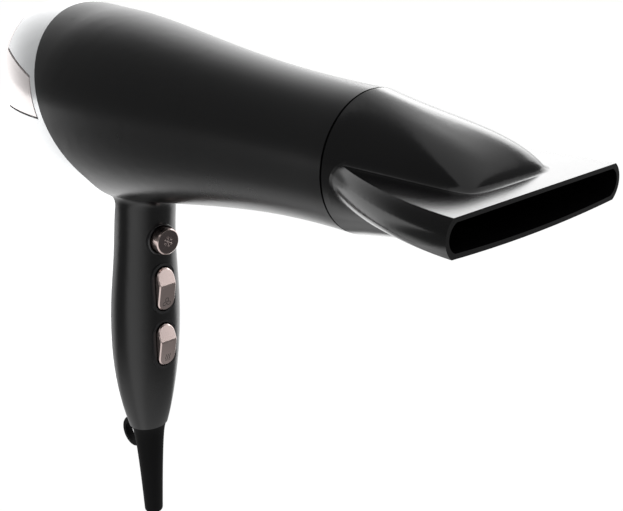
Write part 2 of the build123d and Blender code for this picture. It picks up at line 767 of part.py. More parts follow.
def thermal_fuse():
    """A small sealed cylinder that lies along a board."""
    y = BOARD_THICKNESS / 2 + FUSE_RADIUS
    start = HEATER_BACK + BOARD_EAR
    case = along_x(start + (FUSE_LEAD_LENGTH - FUSE_LENGTH) / 2, FUSE_LENGTH, FUSE_RADIUS, FUSE_HEIGHT, y)
    return case + along_x(start, FUSE_LEAD_LENGTH, FUSE_LEAD, FUSE_HEIGHT, y)


def outlet_grille():
    """Rings and a cross that keep fingers out of the outlet."""
    start = HEATER_END + 1.0
    half = OUTLET_GRILLE_BAR / 2
    outer = OUTLET_BORE - SNUG
    inner = outer - OUTLET_GRILLE_RIM
    rim = tube_x(start, OUTLET_GRILLE_DEPTH, outer, inner)
    front = start + 1.0
    depth = OUTLET_GRILLE_BAR_DEPTH
    radii = [inner * i / (OUTLET_GRILLE_RINGS + 1) for i in range(1, OUTLET_GRILLE_RINGS + 1)]
    rings = [tube_x(front, depth, radius + half, radius - half) for radius in radii]
    reach = (outer + inner) / 2
    arm = block((front, front + depth), (-half, half), (-reach, reach))
    return joined([rim, *rings, arm, Rot(90, 0, 0) * arm])


# ---- nozzle ------------------------------------------------------------------------------

NOZZLE_BACK = BARREL_FRONT + NOZZLE_GAP
MOUTH_X = NOZZLE_BACK + NOZZLE_LENGTH
SPIGOT_RADIUS = OUTLET_BORE - SLIDING


def dome_section(share, inset):
    """A round outline that flattens and squares up as the share runs from 0 to 1."""
    height = (OUTLET_RADIUS - inset) * (1 - DOME_SLOPE * share) * (1 - share**DOME_BLUNT) ** 0.5
    half = OUTLET_RADIUS - inset - DOME_NARROWING * share**0.7
    power = 2 / (2 + DOME_SQUARING * share**2.2)
    count = 32
    points = []
    for i in range(count):
        y, z = cos(2 * pi * i / count), sin(2 * pi * i / count)
        points.append((half * copysign(abs(y) ** power, y), height * copysign(abs(z) ** power, z)))
    return make_face(Spline(*points, periodic=True))


def nozzle_dome(inset):
    """The round part, which slopes down to end in the bill."""
    length = NOZZLE_LENGTH - DOME_STOP - inset
    count = 12
    shares = [0.99 * sin(pi / 2 * i / count) for i in range(count + 1)]
    faces = [Plane(origin=(NOZZLE_BACK + length * share, 0, 0), x_dir=(0, 1, 0), z_dir=(1, 0, 0))
             * dome_section(share, inset) for share in shares]
    return loft(faces)


def bill_half(x):
    """Half the width of the flat bill, flaring from the barrel to the mouth."""
    left = min(max((MOUTH_X - x) / NOZZLE_LENGTH, 0.0), 1.0)
    return MOUTH_HALF - (MOUTH_HALF - BILL_HALF_START) * left**BILL_FLARE


def bill_section(x, inset):
    """A slab section with bulging ends and a slightly bowed underside."""
    half = bill_half(x) - inset
    top, low = MOUTH_TOP - inset, MOUTH_BOTTOM + inset
    bulge = MOUTH_BULGE
    middle = (top + low) / 2
    outline = [
        Line((-half, top), (half, top)),
        ThreePointArc((half, top), (half + bulge, middle), (half, low)),
        ThreePointArc((half, low), (0, low - MOUTH_BOW), (-half, low)),
        ThreePointArc((-half, low), (-half - bulge, middle), (-half, top)),
    ]
    plane = Plane(origin=(x, 0, 0), x_dir=(0, 1, 0), z_dir=(1, 0, 0))
    return plane * make_face(outline)


def nozzle_bill(inset, start, end):
    count = 7
    stations = [start + (end - start) * i / count for i in range(count + 1)]
    return loft([bill_section(x, inset) for x in stations])


def crease(edge):
    """Where the dome's upper or lower side meets the bill."""
    box = edge.bounding_box()
    above = box.min.Z > MOUTH_TOP - 0.1 and box.max.Z < MOUTH_TOP + 0.1
    return above and box.size.Y > BILL_HALF_START and box.size.X > NOZZLE_LENGTH / 2


def nozzle():
    """The concentrator: a round inlet that turns into a wide flat mouth."""
    outer = nozzle_dome(0) + nozzle_bill(0, NOZZLE_BACK, MOUTH_X)
    outer = fillet([edge for edge in outer.edges() if crease(edge)], BILL_FILLET)
    inner = nozzle_dome(NOZZLE_WALL) + nozzle_bill(NOZZLE_WALL, NOZZLE_BACK - 1, MOUTH_X + 1)
    spigot_back = NOZZLE_BACK - SPIGOT_LENGTH
    spigot = along_x(spigot_back, SPIGOT_LENGTH + SPIGOT_WALL, SPIGOT_RADIUS) - ring_groove()
    shoulder = along_x(NOZZLE_BACK, SPIGOT_WALL, OUTLET_RADIUS - NOZZLE_WALL / 2)
    bore = along_x(spigot_back - 1, SPIGOT_LENGTH + 2 * SPIGOT_WALL, SPIGOT_RADIUS - SPIGOT_WALL)
    return (outer - inner) + spigot + shoulder - bore


def ring_groove():
    start = NOZZLE_BACK - SPIGOT_LENGTH + RING_BACK
    return tube_x(start, RING_LENGTH, SPIGOT_RADIUS + 1, SPIGOT_RADIUS - RING_DEPTH)


def nozzle_ring():
    """A split spring ring that grips the barrel's bore while the nozzle turns in it."""
    start = NOZZLE_BACK - SPIGOT_LENGTH + RING_BACK + RUNNING
    inner = SPIGOT_RADIUS - RING_DEPTH + RUNNING
    ring = tube_x(start, RING_LENGTH - 2 * RUNNING, OUTLET_BORE - RUNNING, inner)
    half = RING_SPLIT / 2
    gap = block((start - 1, start + RING_LENGTH + 1), (-half, half), (0, OUTLET_RADIUS))
    return ring - gap


# ---- switches ----------------------------------------------------------------------------

BUTTON_FACE = grip_front(BUTTON_Z) + BUTTON_PROUD
COLLAR_BACK = grip_front(BUTTON_Z) - COLLAR_DEPTH
BUTTON_BACK = COLLAR_BACK - BUTTON_FLANGE[0] - SLIDING
SWITCH_TOP = BUTTON_BACK - BUTTON_TRAVEL - 1.0


def cool_button():
    """A round push button with a flange that keeps it behind its collar."""
    stem = along_x(BUTTON_BACK, BUTTON_FACE - BUTTON_BACK, BUTTON_RADIUS, BUTTON_Z)
    stem = chamfer(stem.faces().sort_by(Axis.X)[-1].edges(), BUTTON_BEVEL)
    length, reach = BUTTON_FLANGE
    flange = along_x(BUTTON_BACK, length, BUTTON_RADIUS + reach, BUTTON_Z)
    hollow = along_x(BUTTON_BACK - 1, BUTTON_HOLLOW + 1, BUTTON_RADIUS - BUTTON_WALL, BUTTON_Z)
    return stem + flange - hollow


def cool_button_collar():
    bore = BUTTON_RADIUS + SLIDING
    face = grip_front(BUTTON_Z) + COLLAR_PROUD
    ring = tube_x(COLLAR_BACK, face - COLLAR_BACK, COLLAR_RADIUS, bore, BUTTON_Z)
    return chamfer(ring.faces().sort_by(Axis.X)[-1].edges(), COLLAR_BEVEL)


def cool_switch():
    """A snap switch on the board, whose plunger the button presses."""
    width, length = COOL_SWITCH
    case = block((BOARD_FACE, SWITCH_TOP), (-width / 2, width / 2),
                 (BUTTON_Z - length / 2, BUTTON_Z + length / 2))
    return case + along_x(SWITCH_TOP - 0.5, 1.0, COOL_PLUNGER, BUTTON_Z)


def cool_button_spring():
    """A return spring between the switch and the button, as round turns."""
    first = SWITCH_TOP + SPRING_WIRE
    span = BUTTON_BACK + BUTTON_HOLLOW - SPRING_WIRE - first
    turn = Rot(0, 90, 0) * Torus(BUTTON_RADIUS - SPRING_INSET, SPRING_WIRE)
    return [Pos(first + span * i / (SPRING_TURNS - 1), 0, BUTTON_Z) * turn for i in range(SPRING_TURNS)]


PIN_LENGTH = ROCKER_WIDTH + 2 * SLIDING + BEZEL_WALL


def rocker_profile(z):
    """Side view of a rocker: two facets that meet at a ridge above the middle."""
    surface = grip_front(z)
    half = ROCKER_LENGTH / 2
    low = surface - ROCKER_PIN_DEPTH - ROCKER_KEEL
    side = surface - ROCKER_SIDE_DEPTH
    edge = surface + ROCKER_EDGE
    short = half - ROCKER_UNDERCUT
    return [(low, z - short), (side, z - half), (edge, z - half),
            (surface + ROCKER_RIDGE, z + ROCKER_RIDGE_SHIFT), (edge, z + half),
            (side, z + half), (low, z + short)]


def cross_bar(z, radius, length):
    """A bar on the rocker's turning axis."""
    return Pos(grip_front(z) - ROCKER_PIN_DEPTH, 0, z) * Rot(90, 0, 0) * Cylinder(radius, length)


def rocker(z):
    surface = grip_front(z)
    wedge = side_prism(rocker_profile(z), ROCKER_WIDTH / 2)
    key = wedge & stadium_prism(z, ROCKER_LENGTH, ROCKER_WIDTH,
                                surface - OPENING_REACH, surface + OPENING_REACH)
    top = [edge for edge in key.edges() if edge.bounding_box().min.X > surface + ROCKER_EDGE - 0.1]
    key = chamfer(top, ROCKER_BEVEL)
    hub = cross_bar(z, ROCKER_HUB, ROCKER_WIDTH - 1.0)
    return key + hub - cross_bar(z, ROCKER_PIN + RUNNING, ROCKER_WIDTH + 2)


def rocker_pin(z):
    return cross_bar(z, ROCKER_PIN, PIN_LENGTH)


def rocker_bezel(z):
    """A stadium frame that clips into the front shell and holds the rocker's pin."""
    surface = grip_front(z)
    outer = bezel_prism(z, 0, surface - BEZEL_DEPTH, surface + BEZEL_PROUD)
    opening = bezel_prism(z, -BEZEL_WALL, surface - BEZEL_DEPTH - 1, surface + BEZEL_PROUD + 1)
    return outer - opening - cross_bar(z, ROCKER_PIN + SNUG / 2, PIN_LENGTH)


def rocker_switch(z):
    """The switch body between the board and its bezel."""
    top = grip_front(z) - BEZEL_DEPTH
    length = ROCKER_LENGTH + 2 * ROCKER_SWING
    case = Pos((BOARD_FACE + top) / 2, 0, z) * Box(top - BOARD_FACE, SWITCH_WIDTH, length)
    recess = Box(2 * SWITCH_RECESS, SWITCH_WIDTH - 2 * SWITCH_RIM, length - 2 * SWITCH_RIM)
    return case - Pos(top, 0, z) * recess


def switch_board():
    """The board behind the switches, held between the two rows of bosses."""
    half = SWITCH_BOARD_WIDTH / 2
    board = block((BOARD_X, BOARD_FACE), (-half, half), (SWITCH_BOARD_END, SWITCH_BOARD_TOP))
    for z in SCREW_Z:
        board = board - along_x(BOARD_X - 1, 4, SCREW_RADIUS + BOSS_WALL / 2 + SNUG, z)
    return board


# ---- cord entry --------------------------------------------------------------------------


def relief_radius(share):
    """Radius of the strain relief from the grip (0) to its tip (1)."""
    root = (grip_half_width(GRIP_END) + grip_depth(GRIP_END)) / 2
    return RELIEF_TIP_RADIUS + (root - RELIEF_TIP_RADIUS) * (1 - share ** RELIEF_SWELL)


def strain_relief():
    """A tapered rubber sleeve with a plug inside the grip and a hanging loop behind."""
    x = grip_centre(GRIP_END)
    count = 8
    ovals = []
    for i in range(count + 1):
        share = i / count
        radius = relief_radius(share)
        squash = 1 + (grip_depth(GRIP_END) / grip_half_width(GRIP_END) - 1) * (1 - share)
        plane = Plane(origin=(x, 0, GRIP_END - SEAM_GAP - RELIEF_LENGTH * share),
                      x_dir=(0, 1, 0), z_dir=(0, 0, -1))
        ovals.append(plane * Ellipse(radius, radius * squash))
    sleeve = loft(ovals)
    sleeve = fillet(sleeve.faces().sort_by(Axis.Z)[0].edges(), RELIEF_TIP_FILLET)
    upright = (Align.CENTER, Align.CENTER, Align.MIN)
    neck = Cylinder(RELIEF_PLUG_RADIUS, RELIEF_PLUG, align=upright)
    reach, length = RELIEF_COLLAR
    collar = Cylinder(RELIEF_PLUG_RADIUS + reach, length, align=upright)
    whole = sleeve + hanging_loop() + Pos(x, 0, GRIP_END - 1) * neck
    whole = whole + Pos(x, 0, GRIP_END + GRIP_WALL + SNUG) * collar
    return whole - Pos(x, 0, GRIP_END) * Cylinder(RELIEF_BORE, 4 * RELIEF_LENGTH)


def hanging_loop():
    centre = Pos(LOOP_X, 0, LOOP_Z) * Rot(90, 0, 0)
    ring = centre * Cylinder(LOOP_RADIUS, LOOP_WIDTH)
    return fillet(ring.edges(), LOOP_FILLET) - centre * Cylinder(LOOP_HOLE, LOOP_WIDTH + 2)


CLAMP_LOW = GRIP_END + RELIEF_PLUG + CLAMP_REST
CLAMP_MIDDLE = CLAMP_LOW + CLAMP_HEIGHT / 2
CLAMP_SPREAD = RELIEF_BORE + CLAMP_POST + SLIDING
CLAMP_FACE = grip_centre(GRIP_END) - RELIEF_BORE


def clamp_posts(radius, start, end):
    post = along_x(start, end - start, radius, CLAMP_MIDDLE, CLAMP_SPREAD)
    return [post, mirror(post, Plane.XZ)]


def clamp_bosses():
    """Two posts on the front wall that the cord clamp is screwed to."""
    inside = grip(GRIP_WALL / 2, GRIP_ROOT, GRIP_END)
    end = grip_front(CLAMP_MIDDLE) + GRIP_WALL
    return [post & inside for post in clamp_posts(CLAMP_POST, CLAMP_FACE, end)]


def cord_clamp():
    """A strap that pinches the cord inside the grip, above the strain relief."""
    half = CLAMP_SPREAD + CLAMP_POST
    strap = block((CLAMP_FACE - CLAMP_THICKNESS, CLAMP_FACE), (-half, half),
                  (CLAMP_LOW, CLAMP_LOW + CLAMP_HEIGHT))
    strap = fillet(strap.edges().filter_by(Axis.X), CLAMP_CORNER)
    return strap - clamp_posts(CLAMP_SCREW + SNUG, CLAMP_FACE - CLAMP_THICKNESS - 1, CLAMP_FACE + 1)


def clamp_screws():
    seat = CLAMP_FACE - CLAMP_THICKNESS
    heads = clamp_posts(CLAMP_SCREW_HEAD, seat - CLAMP_SCREW_HEAD_HEIGHT, seat)
    stems = clamp_posts(CLAMP_SCREW - SNUG / 2, seat, CLAMP_FACE + CLAMP_BITE)
    return [head + stem for head, stem in zip(heads, stems)]


def write_parts():
    shell = housing()
    save("front_shell", front_shell(shell))
    save("rear_shell", rear_shell(shell))
    save("handle_screws", handle_screws())
    save("filter_cover", filter_cover())
    save("filter_mesh", filter_mesh())
    save("fan_duct", fan_duct())
    save("fan_impeller", fan_impeller())
    save("motor_can", motor_can())
    save("motor_end_cap", motor_end_cap())
    save("motor_magnets", motor_magnets())
    save("motor_shaft", motor_shaft())
    save("armature", armature())
    save("armature_windings", armature_windings())
    save("commutator", commutator())
    save("carbon_brushes", carbon_brushes())
    save("bearing_rear", bearing(MOTOR_BACK))
    save("bearing_front", bearing(MOTOR_FRONT - BEARING_LENGTH))
    save("heater_sleeve", heater_sleeve())
    save("heater_boards", heater_boards())
    for name, offset in zip(("rear", "front"), COIL_START):
        save(f"heater_coil_{name}", heater_coil(offset))
    save("thermostat", thermostat())
    save("thermal_fuse", thermal_fuse())
    save("outlet_grille", outlet_grille())
    save("nozzle", nozzle())
    save("nozzle_ring", nozzle_ring())
    save("cool_button", cool_button())
    save("cool_button_collar", cool_button_collar())
    save("cool_button_spring", cool_button_spring())
    save("cool_switch", cool_switch())
    for name, z in zip(("speed", "heat"), ROCKER_Z):
        save(f"{name}_rocker", rocker(z))
        save(f"{name}_rocker_pin", rocker_pin(z))
        save(f"{name}_bezel", rocker_bezel(z))
        save(f"{name}_switch", rocker_switch(z))
    save("switch_board", switch_board())
    save("strain_relief", strain_relief())
    save("cord_clamp", cord_clamp())
    save("clamp_screws", clamp_screws())


os.makedirs("parts", exist_ok=True)
write_parts()
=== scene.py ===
"""Dresses the hair dryer's solids: finishes, fine pieces and a plain studio."""

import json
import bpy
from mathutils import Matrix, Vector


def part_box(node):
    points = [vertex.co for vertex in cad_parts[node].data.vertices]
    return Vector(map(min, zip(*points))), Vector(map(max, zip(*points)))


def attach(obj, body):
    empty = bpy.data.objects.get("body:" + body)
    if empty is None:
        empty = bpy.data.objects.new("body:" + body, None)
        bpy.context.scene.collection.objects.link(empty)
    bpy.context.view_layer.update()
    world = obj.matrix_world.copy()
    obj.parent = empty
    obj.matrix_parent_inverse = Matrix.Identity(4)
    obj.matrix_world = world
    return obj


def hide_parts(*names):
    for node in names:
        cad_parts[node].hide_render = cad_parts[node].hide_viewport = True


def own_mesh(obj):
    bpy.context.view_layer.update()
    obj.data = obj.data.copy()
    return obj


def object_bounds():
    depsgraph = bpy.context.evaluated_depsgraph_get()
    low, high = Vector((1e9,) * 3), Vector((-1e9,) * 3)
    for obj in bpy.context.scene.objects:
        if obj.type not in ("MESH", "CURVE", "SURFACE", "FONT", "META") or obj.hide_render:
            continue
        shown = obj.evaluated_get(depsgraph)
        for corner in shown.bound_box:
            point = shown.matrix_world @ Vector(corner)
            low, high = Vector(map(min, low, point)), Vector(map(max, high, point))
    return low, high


bl_info = {
    "name": "Hair dryer dressing",
    "version": (1, 0, 0),
    "blender": (4, 5, 0),
    "location": "3D View > Sidebar > Dryer",
    "description": "Finishes, heater wire, spring, switch symbols and a studio for the hair dryer",
    "category": "Object",
}

from math import cos, pi, radians, sin, tau

import bpy
from bpy.props import FloatProperty, FloatVectorProperty, IntProperty, PointerProperty
from mathutils import Matrix, Vector

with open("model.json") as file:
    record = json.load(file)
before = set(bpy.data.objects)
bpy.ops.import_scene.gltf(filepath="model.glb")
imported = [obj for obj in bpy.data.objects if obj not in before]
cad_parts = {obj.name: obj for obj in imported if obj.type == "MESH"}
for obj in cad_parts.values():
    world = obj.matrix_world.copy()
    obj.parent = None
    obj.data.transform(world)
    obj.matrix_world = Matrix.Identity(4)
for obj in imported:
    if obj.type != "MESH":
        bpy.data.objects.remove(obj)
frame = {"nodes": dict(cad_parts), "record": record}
cad_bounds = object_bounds()

MM = 0.001
MICRON = 1e-6
BARREL_HEIGHT = sum(corner.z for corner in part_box("heater_sleeve")) / 2

WIRE_SIDES = 10
TURN_STEPS = 40  # round one turn of a coil
WELD = 1e-6  # closer points of a coil are one

BUTTON_RIM = 2.05  # mm from the collar's outside in to the edge of the painted dark reflection on the button's face
BUTTON_RIM_BLUR = 0.1  # mm over which the rose metal turns into the painted dark reflection
ROCKER_FACE = (0.978, 0.0, -0.209)  # the way the long lower facet looks
ROCKER_SYMBOL_DROP = 6.3  # mm below the middle of a rocker
ACROSS = Vector((0.0, 1.0, 0.0))


# ---- settings ----------------------------------------------------------------------------


def colour(name, value, description):
    """A colour setting."""
    return FloatVectorProperty(
        name=name, description=description, default=value, subtype="COLOR", min=0.0, max=1.0
    )


def length(name, value, description):
    """A length setting, given in mm and kept in metres."""
    return FloatProperty(name=name, description=description, default=value * MM, unit="LENGTH")


class DryerColours(bpy.types.PropertyGroup):
    """Colours of the dryer's finishes."""

    shell: colour("Front shell", (0.003, 0.003, 0.0033), "Soft-touch black of the barrel and grip")
    nozzle: colour("Nozzle", (0.002, 0.002, 0.0022), "Glossy black of the concentrator")
    silver: colour("Rear shell", (0.80, 0.81, 0.82), "Silver lacquer of the tail and the grip's back")
    rose: colour("Rose metal", (0.60, 0.49, 0.465), "Champagne metal of the button and rockers")
    ear: colour("Filter cover", (0.86, 0.80, 0.79), "Rose-tinted silver of the filter cover")
    rubber: colour("Rubber", (0.003, 0.003, 0.0033), "Black rubber of the strain relief")
    # painted reflection: the button's face colour is darkened to stand for the dark front mirrored in it
    painted_face_reflection: colour("Button face", (0.20, 0.165, 0.16), "Dark plating of the button's face")
    symbol: colour("Symbols", (0.03, 0.025, 0.024), "Dark filling of the rockers' symbols")


class DryerSizes(bpy.types.PropertyGroup):
    """Sizes of the fine pieces that the solids leave out."""

    heater_wire: length("Heater wire", 0.45, "Radius of the resistance wire")
    heater_turns: IntProperty(
        name="Heater turns", description="Turns of wire on each half", default=12, min=2, max=30
    )
    spring_wire: length("Spring wire", 0.3, "Radius of the button spring's wire")
    spring_turns: IntProperty(
        name="Spring turns", description="Turns of the button's spring", default=5, min=2, max=12
    )
    symbol_line: length("Symbol line", 0.32, "Width of a line in a switch symbol")
    symbol_height: length("Symbol height", 0.06, "How far a symbol stands off its facet")


class StudioSettings(bpy.types.PropertyGroup):
    """The floor, the lights and the camera."""

    floor_gap: length("Floor gap", 3.0, "From the dryer's lowest point down to the floor")
    focal_length: FloatProperty(
        name="Focal length", description="Lens of the camera in mm", default=61.543, min=20, max=200
    )


# ---- selecting and shaping ---------------------------------------------------------------


def start_clean():
    """Leave edit mode and deselect everything."""
    if bpy.context.object and bpy.context.object.mode != "OBJECT":
        bpy.ops.object.mode_set(mode="OBJECT")
    bpy.ops.object.select_all(action="DESELECT")


def select_only(piece):
    """Make the piece the one that the next operator works on."""
    start_clean()
    piece.select_set(True)
    bpy.context.view_layer.objects.active = piece


def apply_modifier(piece, kind, **values):
    """Add one modifier with its values, and apply it."""
    select_only(piece)
    modifier = piece.modifiers.new(kind.title(), kind)
    for key, value in values.items():
        setattr(modifier, key, value)
    bpy.ops.object.modifier_apply(modifier=modifier.name)


def settle(piece, name):
    """Put the piece's place into its mesh, and name it."""
    select_only(piece)
    bpy.ops.object.transform_apply(location=True, rotation=True, scale=True)
    piece.name = name
    piece.data.name = name
    return piece


def wear(piece, material):
    """Give the piece this material alone."""
    piece.data.materials.clear()
    piece.data.materials.append(material)


# ---- shader groups -----------------------------------------------------------------------

BLEND_SOCKETS = {"FLOAT": (2, 3, 0), "RGBA": (6, 7, 2)}  # of a Mix node: two inputs and the output


def add_node(tree, kind, values=(), **settings):
    """A node with its settings, and its inputs set by name."""
    node = tree.nodes.new(kind)
    for key, value in settings.items():
        setattr(node, key, value)
    for key, value in dict(values).items():
        node.inputs[key].default_value = value
    return node


def blend(tree, kind, low, high, factor):
    """A mix of two values or two colours, each given as such or as a socket."""
    node = add_node(tree, "ShaderNodeMix", data_type=kind)
    first, second, result = BLEND_SOCKETS[kind]
    for socket, value in ((first, low), (second, high)):
        if isinstance(value, bpy.types.NodeSocket):
            tree.links.new(value, node.inputs[socket])
        else:
            node.inputs[socket].default_value = value
    tree.links.new(factor, node.inputs["Factor"])
    return node.outputs[result]


def new_group(name, inputs, outputs):
    """A node group with named sockets; inputs maps a name to its type and default."""
    tree = bpy.data.node_groups.new(name, "ShaderNodeTree")
    for label, (kind, value) in inputs.items():
        socket = tree.interface.new_socket(label, in_out="INPUT", socket_type=kind)
        socket.default_value = value
    for label, kind in outputs.items():
        tree.interface.new_socket(label, in_out="OUTPUT", socket_type=kind)
    return tree, tree.nodes.new("NodeGroupInput"), tree.nodes.new("NodeGroupOutput")


def drifting(tree, given, noise):
    """The given roughness, moved up and down by a noise as far as the given drift."""
    centred = add_node(tree, "ShaderNodeMath", {1: 0.5}, operation="SUBTRACT")
    scaled = add_node(tree, "ShaderNodeMath", operation="MULTIPLY")
    total = add_node(tree, "ShaderNodeMath", operation="ADD", use_clamp=True)
    link = tree.links.new
    link(noise.outputs["Fac"], centred.inputs[0])
    link(centred.outputs[0], scaled.inputs[0])
    link(given.outputs["Drift"], scaled.inputs[1])
    link(scaled.outputs[0], total.inputs[0])
    link(given.outputs["Roughness"], total.inputs[1])
    return total.outputs[0]


def moulded_grain_group():
    """Fine grain of a moulded skin, with slow drifts of gloss."""
    inputs = {
        "Scale": ("NodeSocketFloat", 2500.0),
        "Roughness": ("NodeSocketFloat", 0.4),
        "Drift": ("NodeSocketFloat", 0.08),
    }
    tree, given, made = new_group(
        "Moulded grain", inputs, {"Height": "NodeSocketFloat", "Roughness": "NodeSocketFloat"}
    )
    place = add_node(tree, "ShaderNodeTexCoord")
    grain = add_node(tree, "ShaderNodeTexNoise", {"Detail": 3.0, "Roughness": 0.6})
    drift = add_node(tree, "ShaderNodeTexNoise", {"Scale": 28.0, "Detail": 4.0, "Roughness": 0.55})
    link = tree.links.new
    link(place.outputs["Object"], grain.inputs["Vector"])
    link(place.outputs["Object"], drift.inputs["Vector"])
    link(given.outputs["Scale"], grain.inputs["Scale"])
    link(grain.outputs["Fac"], made.inputs["Height"])
    link(drifting(tree, given, drift), made.inputs["Roughness"])
    return tree


def brushed_group():
    """Fine parallel scratches of worked metal, drawn along one axis."""
    inputs = {
        "Stretch": ("NodeSocketVector", (1.0, 1.0, 0.04)),
        "Scale": ("NodeSocketFloat", 4000.0),
        "Roughness": ("NodeSocketFloat", 0.25),
        "Drift": ("NodeSocketFloat", 0.12),
    }
    tree, given, made = new_group(
        "Brushed metal", inputs, {"Height": "NodeSocketFloat", "Roughness": "NodeSocketFloat"}
    )
    place = add_node(tree, "ShaderNodeTexCoord")
    stretched = add_node(tree, "ShaderNodeVectorMath", operation="MULTIPLY")
    lines = add_node(tree, "ShaderNodeTexNoise", {"Detail": 2.0, "Roughness": 0.5})
    link = tree.links.new
    link(place.outputs["Object"], stretched.inputs[0])
    link(given.outputs["Stretch"], stretched.inputs[1])
    link(stretched.outputs[0], lines.inputs["Vector"])
    link(given.outputs["Scale"], lines.inputs["Scale"])
    link(lines.outputs["Fac"], made.inputs["Height"])
    link(drifting(tree, given, lines), made.inputs["Roughness"])
    return tree


def mottle_group():
    """A colour that wanders slowly between two tones."""
    inputs = {
        "Light": ("NodeSocketColor", (0.8, 0.8, 0.8, 1.0)),
        "Dark": ("NodeSocketColor", (0.6, 0.6, 0.6, 1.0)),
        "Scale": ("NodeSocketFloat", 60.0),
    }
    tree, given, made = new_group("Mottle", inputs, {"Colour": "NodeSocketColor"})
    place = add_node(tree, "ShaderNodeTexCoord")
    noise = add_node(tree, "ShaderNodeTexNoise", {"Detail": 5.0, "Roughness": 0.6})
    tree.links.new(place.outputs["Object"], noise.inputs["Vector"])
    tree.links.new(given.outputs["Scale"], noise.inputs["Scale"])
    tone = blend(tree, "RGBA", given.outputs["Dark"], given.outputs["Light"], noise.outputs["Fac"])
    tree.links.new(tone, made.inputs["Colour"])
    return tree


GROUP_MAKERS = {
    "Moulded grain": moulded_grain_group,
    "Brushed metal": brushed_group,
    "Mottle": mottle_group,
}


def shared(name):
    """A shader group, made the first time it is asked for."""
    return bpy.data.node_groups.get(name) or GROUP_MAKERS[name]()


# ---- materials ---------------------------------------------------------------------------

SKIN_MOTTLE = 35.0
METAL_MOTTLE = 90.0
METAL_DRIFT = 0.12
ALONG_Z = (1.0, 1.0, 0.05)  # drawn lines run up and down
EVEN = (1.0, 1.0, 1.0)


def new_material(name, **shader_values):
    """A material with one Principled shader, whose sockets are set by name."""
    material = bpy.data.materials.new(name)
    material.use_nodes = True
    tree = material.node_tree
    tree.nodes.clear()
    output = tree.nodes.new("ShaderNodeOutputMaterial")
    shader = add_node(tree, "ShaderNodeBsdfPrincipled", shader_values)
    tree.links.new(shader.outputs[0], output.inputs["Surface"])
    return material, tree, shader


def use_group(tree, name, values):
    """A shared effect in a material's tree, with its inputs set by name."""
    node = tree.nodes.new("ShaderNodeGroup")
    node.node_tree = shared(name)
    for key, value in values.items():
        node.inputs[key].default_value = value
    return node


def falloff(tree, place, measure, point, span, values):
    """A smooth step over a span of the place's measure against a point."""
    along = add_node(tree, "ShaderNodeVectorMath", {1: point}, operation=measure)
    ramp = add_node(tree, "ShaderNodeMapRange", {"From Min": span[0], "From Max": span[1],
                                                 "To Min": values[0], "To Max": values[1]})
    ramp.interpolation_type = "SMOOTHSTEP"
    tree.links.new(place, along.inputs[0])
    tree.links.new(along.outputs["Value"], ramp.inputs["Value"])
    return ramp.outputs["Result"]


def relief(tree, shader, source, depth):
    """Feed a height to the shader's normal, so many microns deep."""
    bump = add_node(tree, "ShaderNodeBump", {"Strength": 1.0, "Distance": depth * MICRON})
    tree.links.new(source, bump.inputs["Height"])
    tree.links.new(bump.outputs["Normal"], shader.inputs["Normal"])


def tint(tree, shader, tone, spread, scale):
    """Let the base colour wander a little round its tone."""
    light = tuple(min(c * (1 + spread), 1.0) for c in tone) + (1.0,)
    dark = tuple(c * (1 - spread) for c in tone) + (1.0,)
    mottle = use_group(tree, "Mottle", {"Light": light, "Dark": dark, "Scale": scale})
    tree.links.new(mottle.outputs["Colour"], shader.inputs["Base Color"])


def moulded(name, tone, roughness, grain, depth, drift=0.08, spread=0.12, **shader_values):
    """A moulded plastic or rubber skin; the grain is so many microns deep."""
    material, tree, shader = new_material(name, **shader_values)
    values = {"Scale": grain, "Roughness": roughness, "Drift": drift}
    skin = use_group(tree, "Moulded grain", values)
    tree.links.new(skin.outputs["Roughness"], shader.inputs["Roughness"])
    relief(tree, shader, skin.outputs["Height"], depth)
    tint(tree, shader, tone, spread, SKIN_MOTTLE)
    return material


def worked_metal(name, tone, roughness, stretch, lines, depth, spread=0.06):
    """A bare or plated metal with fine drawn lines, so many microns deep."""
    material, tree, shader = new_material(name, Metallic=1.0)
    values = {"Stretch": stretch, "Scale": lines, "Roughness": roughness, "Drift": METAL_DRIFT}
    drawn = use_group(tree, "Brushed metal", values)
    tree.links.new(drawn.outputs["Roughness"], shader.inputs["Roughness"])
    relief(tree, shader, drawn.outputs["Height"], depth)
    tint(tree, shader, tone, spread, METAL_MOTTLE)
    return material


def front_shell_black(colours):
    return moulded("Front shell black", colours.shell, 0.28, grain=2600, depth=10, drift=0.04)


def nozzle_black(colours):
    return moulded("Nozzle black", colours.nozzle, 0.17, grain=900, depth=1.5, drift=0.04)


def lacquered(name, tone, roughness):
    """Silver lacquer under a clear coat."""
    return moulded(
        name, tone, roughness, grain=5200, depth=4, drift=0.05, spread=0.03,
        Metallic=0.6, **{"Coat Weight": 0.6, "Coat Roughness": 0.08},
    )


def silver_lacquer(colours):
    return lacquered("Silver lacquer", colours.silver, 0.24)


def rose_silver_lacquer(colours):
    return lacquered("Rose silver lacquer", colours.ear, 0.22)


def rose_metal(colours):
    return worked_metal("Rose metal", colours.rose, 0.24, ALONG_Z, lines=5000, depth=3)


